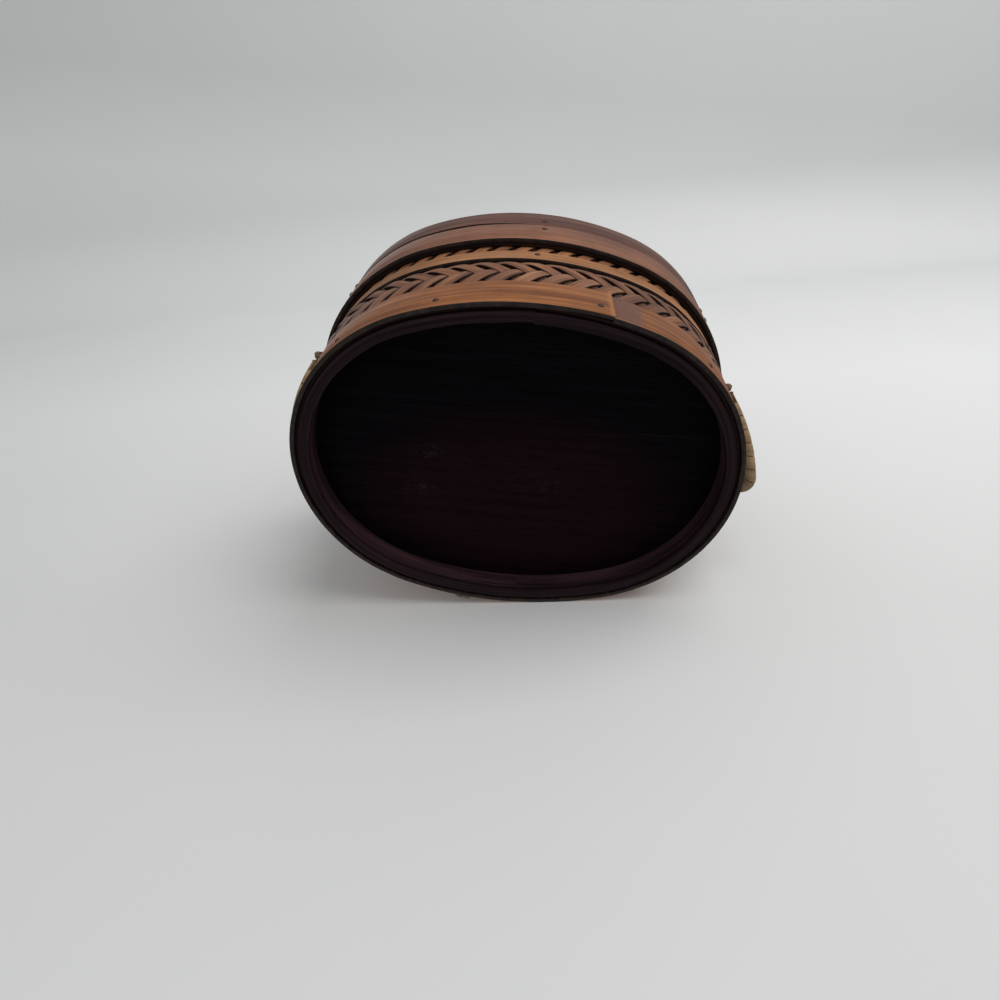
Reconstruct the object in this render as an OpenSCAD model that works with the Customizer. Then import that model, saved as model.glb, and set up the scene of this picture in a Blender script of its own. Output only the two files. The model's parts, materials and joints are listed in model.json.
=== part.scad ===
// Oval keepsake box of bent bamboo hoops, plaited cane bands and cane-wrapped handles.
// Upright on its foot: +Z up, X along the oval, the front with the hanging loop at -Y.
// Origin on the table plane, under the middle of the oval. Millimetres.

/* [Oval] */
// Length of the oval over the bottom hoop
base_len = 200; // [170:1:240]
// Width of the oval over the bottom hoop
base_wid = 160; // [156:1:192]
// Radius of the two round ends
end_r = 76; // [70:0.5:77]

/* [Heights] */
// Height of the bottom hoop
bottom_hoop_h = 24; // [20:0.5:30]
// Height of the lower plaited band
lower_braid_h = 26; // [18:0.5:34]
// Height of the hoop between the two bands
mid_hoop_h = 10; // [8:0.5:14]
// Height of the upper plaited band
upper_braid_h = 12.5; // [10:0.5:18]
// Height of the neck that the lid slips over
neck_h = 21; // [14:0.5:30]
// Strip of the upper band left showing under the lid
band_shown = 6.5; // [3:0.5:9]
// Height of the lower lid hoop
lid_lower_h = 22.5; // [16:0.5:30]
// Height of the upper lid hoop
lid_upper_h = 20; // [16:0.5:28]
// Depth of the hollow under the base board
recess = 12; // [10:0.5:22]

/* [Walls] */
// Thickness of every outer hoop
hoop_t = 2; // [1.5:0.1:3]
// Thickness of the packing behind a body hoop
packing_t = 1.5; // [1:0.1:2.5]
// Thickness of the bent body wall
wall_t = 2; // [1.5:0.1:3]
// Thickness of the hoop inside the foot
foot_t = 2.5; // [2:0.1:4]
// Thickness of the hoop inside the rim
rim_t = 2; // [1.5:0.1:3]
// Height of the hoop inside the rim
rim_h = 14; // [8:0.5:20]
// Thickness of the base board
board_t = 5; // [3:0.5:8]
// Thickness of a plaited band
braid_t = 2.7; // [2:0.1:3.4]
// Thickness of the neck hoop
neck_t = 2.3; // [1.5:0.1:2.6]
// Thickness of the lid skirt
skirt_t = 1.9; // [1.5:0.1:3]
// Width of the ledge that carries the lid panel
ledge_w = 6.5; // [5:0.5:9]
// Thickness of the ledge
ledge_h = 4; // [3:0.5:6]
// Thickness of the lid panel
panel_t = 3; // [2:0.5:5]
// Width of the bead that holds the panel down
bead_w = 4.5; // [3:0.5:7]
// Height of the bead
bead_h = 5; // [3:0.5:7]

/* [Handles] */
// Height of the handle hinge above the middle of the mid hoop
hinge_rise = 0; // [-1:0.5:1]
// How far the hinge stands out from the end of the oval
hinge_out = 0.4; // [0:0.1:3]
// Place of the rear eye along the end
eye_rear_y = 27; // [24:1:40]
// Place of the front eye along the end
eye_front_y = -35; // [-42:1:-28]
// Radius of the cane core and of its pins
cane_r = 1.6; // [1.3:0.1:2]
// Length of an eye along the hinge
eye_len = 5; // [4:0.5:7]
// Wall of an eye round its bore
eye_wall = 1.7; // [1.2:0.1:2.5]
// Slope of the grip away from the hinge line
grip_slope = 33; // [20:1:38]
// Radius of the bends next to the eyes
bend_r = 5; // [4:0.5:6]
// Radius of the front corner of the grip
corner_r = 9; // [7:0.5:10]
// Swing of the right-hand handle, down from level
right_swing = 30; // [0:1:72]
// Swing of the left-hand handle, down from level
left_swing = 50; // [0:1:72]
// How much further forward the left-hand handle sits than the right-hand one
left_forward = 4; // [0:0.5:6]

/* [Loop] */
// Height of the loop hinge above the lower edge of the lid
loop_rise = 11.5; // [9:0.5:13]
// Wall of the loop's eye round its bore
loop_eye_wall = 1.3; // [1:0.1:2]
// Space between the loop's eye and the lid
loop_eye_gap = 0.35; // [0.3:0.05:2]
// Distance between the legs of the loop
loop_w = 14; // [12:0.5:18]
// Height of the loop's end above the table when it hangs straight
loop_hang = 0.6; // [0.5:0.1:20]
// Radius of the two bends at the top of the loop
loop_bend_r = 3; // [2.5:0.5:4]
// Sideways swing of the loop
loop_swing = 18; // [0:1:30]
// Lean of the loop towards the box
loop_lean = 2.5; // [0:0.5:4]
// Length of the eye along the loop hinge
loop_eye_len = 4; // [3:0.5:6]

/* [Wrapping] */
// Turns of flat cane on each handle
grip_turns = 6; // [4:1:8]
// Advance of the flat cane in one turn
grip_pitch = 5.8; // [5:0.1:6]
// Turns of cane on the end of the loop
loop_turns = 12; // [6:1:12]
// Advance of the cane on the loop in one turn
loop_pitch = 3.4; // [3.3:0.1:4]
// Thickness of the wrapping cane
strip_t = 0.95; // [0.7:0.05:1.2]
// Width of the cane on the loop
loop_strip_w = 1.6; // [1.2:0.1:1.7]
// Space between two turns on a handle
grip_turn_gap = 0.6; // [0.5:0.05:1]

/* [Nails] */
// Radius of a nail head
head_r = 1.5; // [1:0.1:2]
// Thickness of a nail head
head_t = 0.6; // [0.4:0.1:1]
// Radius of a nail
nail_r = 0.6; // [0.4:0.1:0.8]

/* [Fits] */
// Space between pieces that are fixed together
fixed_gap = 0.1; // [0.05:0.05:0.3]
// Space between the lid and what it rests on
seat_gap = 0.3; // [0.2:0.05:0.5]
// Space round the neck inside the lid
lid_gap = 0.8; // [0.5:0.1:1.5]
// Space round a turning pin
pin_gap = 0.08; // [0.04:0.01:0.08]

/* [Hidden] */
$fn = 64;

// Four-centre oval: round ends on the X axis, flatter sides from centres on the Y axis
end_c = base_len / 2 - end_r;
side_gain = base_wid / 2 - end_r;
side_d = (end_c * end_c - side_gain * side_gain) / (2 * side_gain);
side_r = base_wid / 2 + side_d;
meet_angle = atan2(side_d, end_c);

// Distances of the layers from the outline of the bottom hoop, outwards positive
hoop_in = -hoop_t;
packing_out = hoop_in - fixed_gap;
packing_in = packing_out - packing_t;
wall_out = packing_in - fixed_gap;
wall_in = wall_out - wall_t;
lining_out = wall_in - fixed_gap;
band_in = wall_out + fixed_gap;
band_out = band_in + braid_t;
neck_out = band_in + neck_t;
skirt_in = max(neck_out + lid_gap, band_out + lid_gap / 2);
skirt_out = skirt_in + skirt_t;
lid_hoop_in = skirt_out + fixed_gap;
lid_hoop_out = lid_hoop_in + hoop_t;
inset_out = skirt_in - fixed_gap;

// Levels above the table
lower_z = bottom_hoop_h + fixed_gap;
mid_z = lower_z + lower_braid_h;
upper_z = mid_z + mid_hoop_h + fixed_gap;
neck_z = upper_z + upper_braid_h + fixed_gap;
rim_z = neck_z + neck_h;
lid_z = upper_z + band_shown;
seam_z = lid_z + lid_lower_h;
lid_top = seam_z + fixed_gap + lid_upper_h;
ledge_z = rim_z + seat_gap;
panel_z = ledge_z + ledge_h + fixed_gap;
bead_z = panel_z + panel_t + fixed_gap;
skirt_foot = 1;
skirt_drop = 2;
skirt_top = lid_top - skirt_drop;
bottom_packing_inset = 2;
mid_packing_inset = 0.5;
cut = 1;

// Hinge of the handles
hinge_x = base_len / 2 + hinge_out;
hinge_z = mid_z + mid_hoop_h / 2 + hinge_rise;
bore_r = cane_r + pin_gap;
eye_r = bore_r + eye_wall;
eye_span = eye_rear_y - eye_front_y;
pin_over = 1;
bend_step = 0.02;
lap = 0.3;
bend_start = eye_len / 2 + pin_over;
leg_u = eye_span - bend_start - bend_r;
corner_u = leg_u - corner_r;
grip_len = (corner_u - bend_start - (bend_r + corner_r) * sin(grip_slope)) / cos(grip_slope);
grip_u = bend_start + bend_r * sin(grip_slope);
grip_v = bend_r * (1 - cos(grip_slope));
corner_v = grip_v + grip_len * sin(grip_slope) - corner_r * cos(grip_slope);

// Hinge of the front loop
loop_eye_r = bore_r + loop_eye_wall;
loop_y = -(base_wid / 2 + lid_hoop_out + loop_eye_r + loop_eye_gap);
loop_z = lid_z + loop_rise;
loop_end_r = loop_w / 2;
loop_len = loop_z - loop_hang - cane_r - fixed_gap - strip_t;
shank_r = 1.4;

// Wrapping
wrap_r = cane_r + fixed_gap + strip_t / 2;
rings_per_turn = 24;
grip_strip_w = grip_pitch - grip_turn_gap;
grip_start = (grip_len - grip_turns * grip_pitch) / 2;

// Nails, by the direction in which they are driven
bottom_nails_at = [20, 48, 76.5, 100.5, 131, 160, 200, 229, 258, 282, 311, 340];
mid_nails_at = [40, 91, 146, 214, 269, 321];
lid_nails_at = [35, 92, 145, 215, 325];
bottom_nail_z = 6.5;
mid_nail_rise = 1;
mid_nail_z = mid_z + mid_hoop_h / 2 + mid_nail_rise;
lid_nail_drop = 6;
nail_stop = 0.5;

honey = [0.62, 0.36, 0.18];
tan_cane = [0.66, 0.42, 0.24];
dark_bamboo = [0.33, 0.17, 0.11];
maroon = [0.16, 0.07, 0.07];
red_bamboo = [0.45, 0.24, 0.16];
pale_cane = [0.72, 0.60, 0.42];
iron = [0.30, 0.28, 0.26];

// Where a round end passes into a side, for a layer at distance off
function meet_x(off) = end_c + (end_r + off) * cos(meet_angle);

// Point of the layer at distance off whose outward direction is a
function oval_at(a, off) =
    abs(cos(a)) > cos(meet_angle)
        ? [sign(cos(a)) * end_c + (end_r + off) * cos(a), (end_r + off) * sin(a)]
        : [(side_r + off) * cos(a), -sign(sin(a)) * side_d + (side_r + off) * sin(a)];

module oval_solid(off, z0, z1) {
    h = z1 - z0;
    translate([0, 0, z0]) {
        intersection() {
            translate([0, -side_d, 0]) cylinder(r = side_r + off, h = h);
            translate([0, side_d, 0]) cylinder(r = side_r + off, h = h);
            translate([-meet_x(off), -base_wid, 0]) cube([2 * meet_x(off), 2 * base_wid, h]);
        }
        for (side = [-1, 1])
            translate([side * end_c, 0, 0]) cylinder(r = end_r + off, h = h);
    }
}

module hoop(out, in, z0, z1) {
    difference() {
        oval_solid(out, z0, z1);
        oval_solid(in, z0 - cut, z1 + cut);
    }
}

// One nail from its head on the layer at distance out down to the layer at distance deep
module nail(a, out, deep, z) {
    p = oval_at(a, out);
    translate([p[0], p[1], z]) rotate([0, 0, a]) rotate([0, 90, 0]) {
        cylinder(r = head_r, h = head_t);
        translate([0, 0, deep - out]) cylinder(r = nail_r, h = out - deep + head_t / 2);
    }
}

module base_board() {
    color(maroon) oval_solid(lining_out, recess + fixed_gap, recess + fixed_gap + board_t);
}

module foot_hoop() {
    color(maroon) hoop(lining_out, lining_out - foot_t, 0, recess);
}

module body_wall() {
    color(dark_bamboo) hoop(wall_out, wall_in, 0, rim_z);
}

module bottom_packing() {
    color(dark_bamboo) hoop(packing_out, packing_in, bottom_packing_inset, bottom_hoop_h - bottom_packing_inset);
}

module bottom_hoop() {
    color(honey) hoop(0, hoop_in, 0, bottom_hoop_h);
}

module lower_braid() {
    color(tan_cane) hoop(band_out, band_in, lower_z, mid_z - fixed_gap);
}

module mid_packing() {
    color(dark_bamboo)
        hoop(packing_out, packing_in, mid_z + mid_packing_inset, mid_z + mid_hoop_h - mid_packing_inset);
}

module mid_hoop() {
    color(honey) hoop(0, hoop_in, mid_z, mid_z + mid_hoop_h);
}

module upper_braid() {
    color(tan_cane) hoop(band_out, band_in, upper_z, upper_z + upper_braid_h);
}

module neck_hoop() {
    color(dark_bamboo) hoop(neck_out, band_in, neck_z, rim_z);
}

module rim_hoop() {
    color(dark_bamboo) hoop(lining_out, lining_out - rim_t, rim_z - rim_h, rim_z);
}

module bottom_nails() {
    color(iron) for (a = bottom_nails_at) nail(a, 0, wall_in + nail_stop, bottom_nail_z);
}

module mid_nails() {
    color(iron) for (a = mid_nails_at) nail(a, 0, wall_in + nail_stop, mid_nail_z);
}

// Two strap eyes on the mid hoop of the +X end, with one bore line along Y
module handle_eyes(forward) {
    color(tan_cane) for (y = [eye_rear_y - forward, eye_front_y - forward])
        translate([0, y, 0]) difference() {
            union() {
                translate([hinge_x, eye_len / 2, hinge_z]) rotate([90, 0, 0]) cylinder(r = eye_r, h = eye_len);
                translate([end_c, -eye_len / 2, hinge_z - bore_r]) cube([hinge_x - end_c, eye_len, 2 * bore_r]);
            }
            translate([hinge_x, eye_len / 2 + cut, hinge_z]) rotate([90, 0, 0])
                cylinder(r = bore_r, h = eye_len + 2 * cut);
            translate([0, -y, 0]) oval_solid(fixed_gap, 0, rim_z);
        }
}

// A straight stretch of cane along Z, a hair thinner than the bends that it runs into
module cane(h) {
    translate([0, 0, -lap]) cylinder(r = cane_r - bend_step, h = h + 2 * lap);
}

module cane_bend(r, angle) {
    rotate_extrude(angle = angle) translate([r, 0]) circle(r = cane_r);
}

// A handle lies in its own plane: X along the hinge from the rear eye, Y out to the grip
module handle_core_flat() {
    translate([-bend_start, 0, 0]) rotate([0, 90, 0]) cane(2 * bend_start);
    translate([bend_start, bend_r, 0]) rotate([0, 0, -90]) cane_bend(bend_r, grip_slope);
    translate([grip_u, grip_v, 0]) rotate([0, 0, grip_slope]) rotate([0, 90, 0]) cane(grip_len);
    translate([corner_u, corner_v, 0]) cane_bend(corner_r, 90 + grip_slope);
    translate([leg_u, bend_r, 0]) rotate([-90, 0, 0]) cane(corner_v - bend_r);
    translate([leg_u + bend_r, bend_r, 0]) rotate([0, 0, 180]) cane_bend(bend_r, 90);
    translate([leg_u + bend_r, 0, 0]) rotate([0, 90, 0]) cane(2 * bend_start);
}

module at_handle(swing, forward) {
    translate([hinge_x, eye_rear_y - forward, hinge_z]) rotate([0, swing, 0]) rotate([0, 0, -90]) children();
}

// Six-sided section of a flat strip: w along the bar, strip_t across it
function strip_section(w) =
    [for (k = [0:5]) [w / 2 * cos(60 * k) * (k % 3 == 0 ? 1 : 1.5), strip_t / 2 * sign(round(2 * sin(60 * k)))]];

// Rings of a strip wound on the grip, with a straight end of one thickness on both ends
function grip_ring(i, n) =
    let (turn = 360 * min(max(i - 1, 0), n - 2) / rings_per_turn,
        run = i == 0 ? -strip_t : i == n ? strip_t : 0,
        along = grip_start + grip_pitch * turn / 360,
        out = [0, cos(turn), sin(turn)],
        ahead = [0, -sin(turn), cos(turn)])
    [for (s = strip_section(grip_strip_w))
        [along + s[0], 0, 0] + (wrap_r + s[1]) * out + run * ahead];

// Middle line of the loop's end, s measured along it from the lowest point
function loop_line(s) =
    let (quarter = PI / 2 * loop_end_r, a = s / loop_end_r * 180 / PI)
    abs(s) <= quarter
        ? [[loop_end_r * sin(a), -loop_end_r * cos(a), 0], [sin(a), -cos(a), 0], [cos(a), sin(a), 0]]
        : [[sign(s) * loop_end_r, abs(s) - quarter, 0], [sign(s), 0, 0], [0, sign(s), 0]];

function loop_ring(i, n) =
    let (turn = 360 * min(max(i - 1, 0), n - 2) / rings_per_turn,
        run = i == 0 ? -strip_t : i == n ? strip_t : 0,
        f = loop_line(loop_pitch * (turn / 360 - loop_turns / 2)),
        out = cos(turn) * f[1] + sin(turn) * [0, 0, 1],
        ahead = -sin(turn) * f[1] + cos(turn) * [0, 0, 1])
    [for (s = strip_section(loop_strip_w)) f[0] + s[0] * f[2] + (wrap_r + s[1]) * out + run * ahead];

// Closed tube through rings of six points
module tube(rings) {
    n = len(rings);
    polyhedron(
        points = [for (r = rings) each r],
        faces = concat(
            [for (i = [0:n - 2], k = [0:5]) [6 * i + k, 6 * i + 6 + k, 6 * i + (k + 1) % 6]],
            [for (i = [0:n - 2], k = [0:5]) [6 * i + (k + 1) % 6, 6 * i + 6 + k, 6 * i + 6 + (k + 1) % 6]],
            [for (k = [1:4]) [0, k, k + 1]],
            [for (k = [1:4]) [6 * n - 6, 6 * n - 6 + k + 1, 6 * n - 6 + k]]));
}

// Least distance between the points of one turn and those of the next
function turn_gap(rings) =
    min([for (i = [0:len(rings) - 1 - rings_per_turn], p = rings[i], q = rings[i + rings_per_turn]) norm(p - q)]);

grip_rings = [for (i = [0:grip_turns * rings_per_turn + 2]) grip_ring(i, grip_turns * rings_per_turn + 2)];
loop_rings = [for (i = [0:loop_turns * rings_per_turn + 2]) loop_ring(i, loop_turns * rings_per_turn + 2)];
echo(grip_turn_gap = turn_gap(grip_rings), loop_turn_gap = turn_gap(loop_rings));

module handle_wrap_flat() {
    translate([grip_u, grip_v, 0]) rotate([0, 0, grip_slope]) tube(grip_rings);
}

module left_handle_eyes() {
    handle_eyes(left_forward);
}

module right_handle_eyes() {
    mirror([1, 0, 0]) handle_eyes(0);
}

module left_handle_core() {
    color(pale_cane) at_handle(left_swing, left_forward) handle_core_flat();
}

module left_handle_wrap() {
    color(pale_cane) at_handle(left_swing, left_forward) handle_wrap_flat();
}

module right_handle_core() {
    color(pale_cane) mirror([1, 0, 0]) at_handle(right_swing, 0) handle_core_flat();
}

module right_handle_wrap() {
    color(pale_cane) mirror([1, 0, 0]) at_handle(right_swing, 0) handle_wrap_flat();
}

// Hole for the shank of the loop's eye
module shank_hole() {
    translate([0, 0, loop_z]) rotate([90, 0, 0]) cylinder(r = shank_r + pin_gap, h = -loop_y);
}

module lid_skirt() {
    color(dark_bamboo) difference() {
        hoop(skirt_out, skirt_in, lid_z + skirt_foot, skirt_top);
        shank_hole();
    }
}

module lid_lower_hoop() {
    color(red_bamboo) difference() {
        hoop(lid_hoop_out, lid_hoop_in, lid_z, seam_z);
        shank_hole();
    }
}

module lid_upper_hoop() {
    color(red_bamboo) hoop(lid_hoop_out, lid_hoop_in, seam_z + fixed_gap, lid_top);
}

module lid_ledge() {
    color(dark_bamboo) hoop(inset_out, inset_out - ledge_w, ledge_z, ledge_z + ledge_h);
}

module lid_panel() {
    color(tan_cane) oval_solid(inset_out, panel_z, panel_z + panel_t);
}

module lid_bead() {
    color(red_bamboo) hoop(inset_out, inset_out - bead_w, bead_z, bead_z + bead_h);
}

module lid_nails() {
    color(iron) for (a = lid_nails_at, z = [seam_z - lid_nail_drop, seam_z + lid_nail_drop])
        nail(a, lid_hoop_out, skirt_in + nail_stop, z);
}

// The loop hangs in the XY plane of its own frame, Y up, with its hinge on the X axis
module at_loop_eye() {
    translate([0, loop_y, loop_z]) rotate([0, -loop_swing, 0]) rotate([90, 0, 0]) children();
}

module loop_eye() {
    shank_len = -loop_y - base_wid / 2 - skirt_in - fixed_gap;
    color(iron) difference() {
        union() {
            at_loop_eye() translate([-loop_eye_len / 2, 0, 0]) rotate([0, 90, 0])
                cylinder(r = loop_eye_r, h = loop_eye_len);
            translate([0, loop_y, loop_z]) rotate([-90, 0, 0]) cylinder(r = shank_r, h = shank_len);
        }
        at_loop_eye() translate([-loop_eye_len, 0, 0]) rotate([0, 90, 0])
            cylinder(r = bore_r, h = 2 * loop_eye_len);
    }
}

module at_loop() {
    at_loop_eye() rotate([loop_lean, 0, 0]) children();
}

module loop_core() {
    leg_len = loop_len - loop_end_r - loop_bend_r;
    color(pale_cane) at_loop() {
        translate([loop_bend_r - loop_end_r, 0, 0]) rotate([0, 90, 0]) cane(loop_w - 2 * loop_bend_r);
        for (side = [-1, 1]) {
            translate([side * (loop_end_r - loop_bend_r), -loop_bend_r, 0]) rotate([0, 0, 45 - 45 * side])
                cane_bend(loop_bend_r, 90);
            translate([side * loop_end_r, loop_end_r - loop_len, 0]) rotate([-90, 0, 0]) cane(leg_len);
        }
        translate([0, loop_end_r - loop_len, 0]) rotate([0, 0, 180]) cane_bend(loop_end_r, 180);
    }
}

module loop_wrap() {
    color(pale_cane) at_loop() translate([0, loop_end_r - loop_len, 0]) tube(loop_rings);
}

base_board();
foot_hoop();
body_wall();
bottom_packing();
bottom_hoop();
lower_braid();
mid_packing();
mid_hoop();
upper_braid();
neck_hoop();
rim_hoop();
bottom_nails();
mid_nails();
left_handle_eyes();
right_handle_eyes();
left_handle_core();
left_handle_wrap();
right_handle_core();
right_handle_wrap();
lid_skirt();
lid_lower_hoop();
lid_upper_hoop();
lid_ledge();
lid_panel();
lid_bead();
lid_nails();
loop_eye();
loop_core();
loop_wrap();
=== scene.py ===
import json
from math import atan2, ceil, cos, pi, radians, sin, sqrt, tan

import bpy
from mathutils import Matrix, Vector


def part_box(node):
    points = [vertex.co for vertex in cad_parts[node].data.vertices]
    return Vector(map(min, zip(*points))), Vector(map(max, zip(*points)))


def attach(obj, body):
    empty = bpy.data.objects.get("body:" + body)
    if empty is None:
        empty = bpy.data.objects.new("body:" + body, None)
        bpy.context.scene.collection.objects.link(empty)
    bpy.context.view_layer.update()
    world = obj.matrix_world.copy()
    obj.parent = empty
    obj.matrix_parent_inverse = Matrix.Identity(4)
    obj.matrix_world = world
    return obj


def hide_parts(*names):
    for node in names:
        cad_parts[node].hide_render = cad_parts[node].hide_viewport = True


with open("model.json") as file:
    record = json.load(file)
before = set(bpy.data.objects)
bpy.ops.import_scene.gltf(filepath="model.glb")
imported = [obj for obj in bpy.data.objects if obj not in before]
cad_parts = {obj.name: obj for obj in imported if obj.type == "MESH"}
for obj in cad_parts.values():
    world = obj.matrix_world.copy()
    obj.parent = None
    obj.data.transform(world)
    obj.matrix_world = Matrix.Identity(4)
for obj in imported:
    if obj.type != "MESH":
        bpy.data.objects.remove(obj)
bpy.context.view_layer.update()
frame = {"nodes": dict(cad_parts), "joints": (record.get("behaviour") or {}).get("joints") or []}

MM = 0.001
# Lengths and angles closer than this count as the same
SAME = 1e-7

# Oval of four arcs, from the box's own hoop
hoop_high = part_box("bottom_hoop")[1]
HALF_LEN = hoop_high.x
HALF_WID = hoop_high.y
END_R = 76 * MM
END_C = HALF_LEN - END_R
SIDE_GAIN = HALF_WID - END_R
SIDE_D = (END_C ** 2 - SIDE_GAIN ** 2) / (2 * SIDE_GAIN)
SIDE_R = HALF_WID + SIDE_D
MEET = atan2(SIDE_D, END_C)
ROUND = 4 * MEET * END_R + (2 * pi - 4 * MEET) * SIDE_R

# Bent strips: thicknesses and widths
HOOP_T = 2.0 * MM
WALL_T = 2.0 * MM
FOOT_T = 2.5 * MM
RIM_T = 2.0 * MM
PACKING_T = 1.5 * MM
NECK_T = 2.3 * MM
SKIRT_T = 1.9 * MM
LEDGE_W = 6.5 * MM
BEAD_W = 4.5 * MM

# Bent strips: edges, laps and uneven faces
STRIP_EDGE = 0.35 * MM
BEAD_EDGE = 1.6 * MM
LAP_RISE = 0.9 * MM
LAP_REACH = 28 * MM
HOOP_UNEVEN = 0.15 * MM
UNEVEN_SIZE = 9 * MM
HOOP_TRIM = 1.4 * MM

# Foot: the rim's height and lip, how far the lining goes down behind it, the gap above it
FOOT_EDGE_H = 3.0 * MM
FOOT_LIP = 0.1 * MM
LINING_DOWN = 1.0 * MM
WALL_GAP = 0.5 * MM

# How many times depth counts in a hoop's grain, so that its inner faces look like cut edges
CUT_GRAIN = 4

# Where hoops lap, as the direction that the wall faces there
FOOT_LAP = radians(91.2)
BOTTOM_LAP = radians(102.5)
MID_LAP = radians(285)
LID_LAP = radians(262)
HIDDEN_LAP = radians(268)

# Where the seam between the lid's hoops gapes: it opens between the first two directions and closes
# between the last two, in degrees
SEAM_GAPS = ((5, 40, 79, 91),)
SEAM_GAP_H = 3 * MM
SEAM_EDGE_H = 1 * MM

# Plaits
STRANDS = 5
STRAND_T = 0.7 * MM
STRAND_CROWN = 0.14 * MM
STRAND_EASE = 0.16 * MM
LOWER_STRAND = 5.9 * MM
UPPER_STRAND = 5.2 * MM
PLAIT_GAP = 0.1 * MM

# Top of the lid: a woven mat on a backing
BACKING_T = 0.6 * MM
MAT_MARGIN = 1 * MM
MAT_SPACING = 5.2 * MM
MAT_STRIP_W = 4.8 * MM
MAT_STRIP_T = 0.6 * MM
MAT_WAVE = 0.5 * MM
MAT_CROWN = 0.12 * MM

# Nails, as the directions in degrees that the wall faces there; one is in the bottom hoop's lap
LAP_NAIL = 100.5
LAP_NAIL_RISE = 0.85 * MM
BOTTOM_NAILS = (20, 48, 76.5, LAP_NAIL, 131, 160, 200, 229, 258, 282, 311, 340)
MID_NAILS = (40, 91, 146, 214, 269, 321)
LID_NAILS = (35, 92, 145, 215, 325)
HEAD_R = 1.3 * MM
HEAD_H = 0.55 * MM
CAD_HEAD_R = 1.5 * MM

# Handles: a bowed cane on two pins, its grip wrapped with flat cane, the pins held by straps
CANE_R = 1.6 * MM
EYE_REAR_Y = 25.3 * MM
EYE_FRONT_Y = -33.3 * MM
STRAP_T = 0.5 * MM
STRAP_W = 2.5 * MM
STRAP_EDGE = 0.25 * MM
STRAP_SUNK = 1.5 * MM
PIN_R = 1.1 * MM
PIN_GAP = 0.1 * MM
PIN_RUN = STRAP_W / 2 + 0.55 * MM
PIN_TAIL = STRAP_W / 2 + 0.3 * MM
BEND_R = 5 * MM
CORNER_R = 6 * MM
LEFT_SLOPES = (radians(50), radians(-4))
LEFT_SWING = radians(54)
LEFT_FORWARD = 0.5 * MM
RIGHT_SLOPES = (radians(43), radians(16.5))
RIGHT_SWING = radians(30)
RIGHT_FORWARD = 1.5 * MM
WRAP_W = 7.26 * MM
WRAP_T = 2.0 * MM
WRAP_CROWN = 0.05 * MM
WRAP_EASE = 0.12 * MM
WRAP_PITCH = 7.3 * MM
WRAP_LIFT = 0.5 * MM

# Front loop: a closed loop of cane, wrapped along its legs and end, in a screw eye
LOOP_W = 14 * MM
LOOP_BEND_R = 3 * MM
LOOP_SWING = radians(18)
LOOP_LEAN = radians(2.5)
LOOP_HANG = 0.6 * MM
LOOP_STRIP_W = 3.2 * MM
LOOP_STRIP_T = 0.95 * MM
LOOP_CROWN = 0.2 * MM
LOOP_EASE = 0.23 * MM
LOOP_PITCH = 3.5 * MM
LOOP_LIFT = 0.58 * MM
LOOP_WRAP_T = 1.05 * MM
SCREW_RING_R = 2.35 * MM
SCREW_WIRE_R = 0.6 * MM
SHANK_R = 1.2 * MM
SHANK_BACK = 2.0 * MM

joint_place = {j["name"]: Vector(j["pos_m"]) for j in frame["joints"] if "pos_m" in j}
HINGE = joint_place["left_handle_swing"]
LOOP_HINGE = joint_place["loop_turn"]


# Selecting, finishing and placing pieces

def select_only(piece=None):
    """Leaves edit mode and selects one piece, or nothing."""
    if bpy.context.mode != "OBJECT":
        bpy.ops.object.mode_set(mode="OBJECT")
    bpy.ops.object.select_all(action="DESELECT")
    if piece:
        piece.select_set(True)
        bpy.context.view_layer.objects.active = piece


def edit_all(piece):
    """Opens a piece in edit mode with everything selected."""
    select_only(piece)
    bpy.ops.object.mode_set(mode="EDIT")
    bpy.ops.mesh.select_all(action="SELECT")


def edit_edges(piece, test):
    """Opens a piece in edit mode with the edges selected whose two ends pass a test."""
    select_only(piece)
    mesh = piece.data
    for group in (mesh.vertices, mesh.edges, mesh.polygons):
        group.foreach_set("select", [False] * len(group))
    for edge in mesh.edges:
        a, b = (mesh.vertices[i].co for i in edge.vertices)
        edge.select = test(a, b)
    bpy.context.tool_settings.mesh_select_mode = (False, True, False)
    bpy.ops.object.mode_set(mode="EDIT")


def leave_edit():
    bpy.ops.object.mode_set(mode="OBJECT")


def apply_modifier(piece, kind, **settings):
    """Adds a modifier with these settings and applies it."""
    select_only(piece)
    modifier = piece.modifiers.new(kind.lower(), kind)
    for key, value in settings.items():
        setattr(modifier, key, value)
    bpy.ops.object.modifier_apply(modifier=modifier.name)


def settle(piece, matrix=None):
    """Puts a piece's place into its mesh, with its faces outwards."""
    if matrix:
        piece.data.transform(matrix)
    edit_all(piece)
    bpy.ops.mesh.normals_make_consistent(inside=False)
    leave_edit()
    bpy.ops.object.shade_smooth_by_angle(angle=radians(40))


def join(name, pieces):
    """Joins pieces into one under a name."""
    select_only(pieces[0])
    for piece in pieces:
        piece.select_set(True)
    bpy.ops.object.join()
    pieces[0].name = name
    return pieces[0]


def placed(name, data):
    """A new object for data, in the scene."""
    made = bpy.data.objects.new(name, data)
    bpy.context.scene.collection.objects.link(made)
    return made


def hand_in(piece, material, slot, body, *nodes):
    """Gives a piece its material, its body and the CAD nodes that it stands for."""
    piece.data.materials.clear()
    piece.data.materials.append(material)
    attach(piece, body)
    if nodes:
        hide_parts(*nodes)


# Guides and bent strips

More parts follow.
